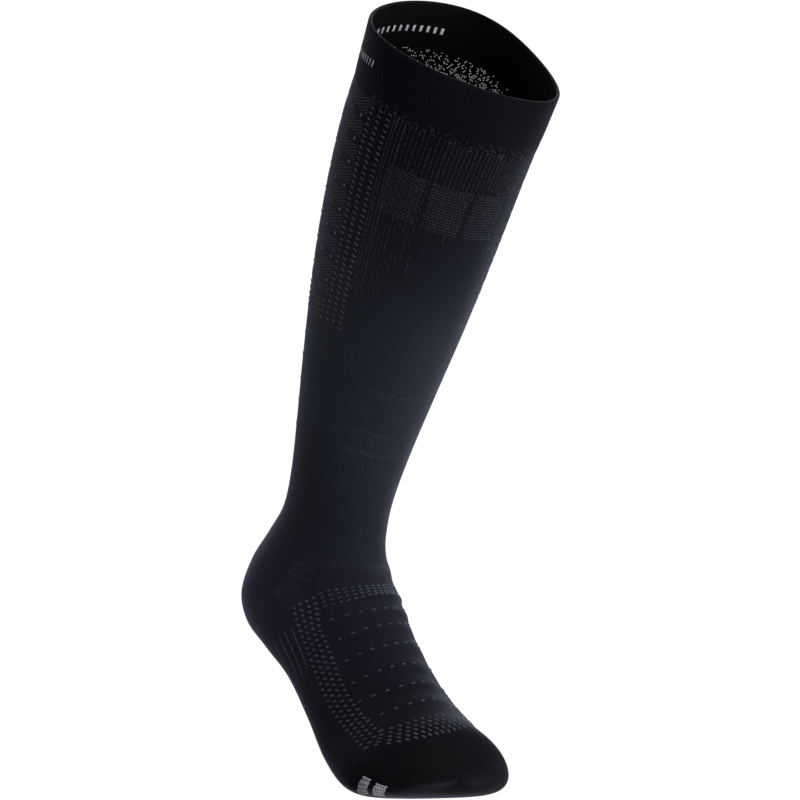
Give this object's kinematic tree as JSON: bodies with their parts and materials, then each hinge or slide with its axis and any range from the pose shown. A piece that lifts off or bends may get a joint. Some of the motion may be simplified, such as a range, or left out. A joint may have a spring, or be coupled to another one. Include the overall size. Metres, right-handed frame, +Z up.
{
  "type": "compression stocking",
  "caption": "Knee-high compression stocking of black knit, filled out and hollow, with a turned cuff, a patterned calf and a dotted instep; it holds the leg and foot firmly",
  "frame": {"origin": "the middle of the cuff opening, where the wearer's leg holds the stocking up", "axes": "+Z runs up the leg, the toes point along -Y, and X runs across the leg"},
  "size_m": [0.1177, 0.2609, 0.4103],
  "materials": {
    "welt_knit": "double rib knit, matte with a soft sheen",
    "leg_knit": "fine tight knit with paler mesh stitches, soft sheen",
    "foot_knit": "fine tight knit, matte"
  },
  "bodies": {
    "root": {"cuff_welt": "welt_knit", "leg_tube": "leg_knit", "heel_pocket": "foot_knit", "foot_tube": "foot_knit", "toe_cap": "foot_knit"}
  },
  "joints": []
}
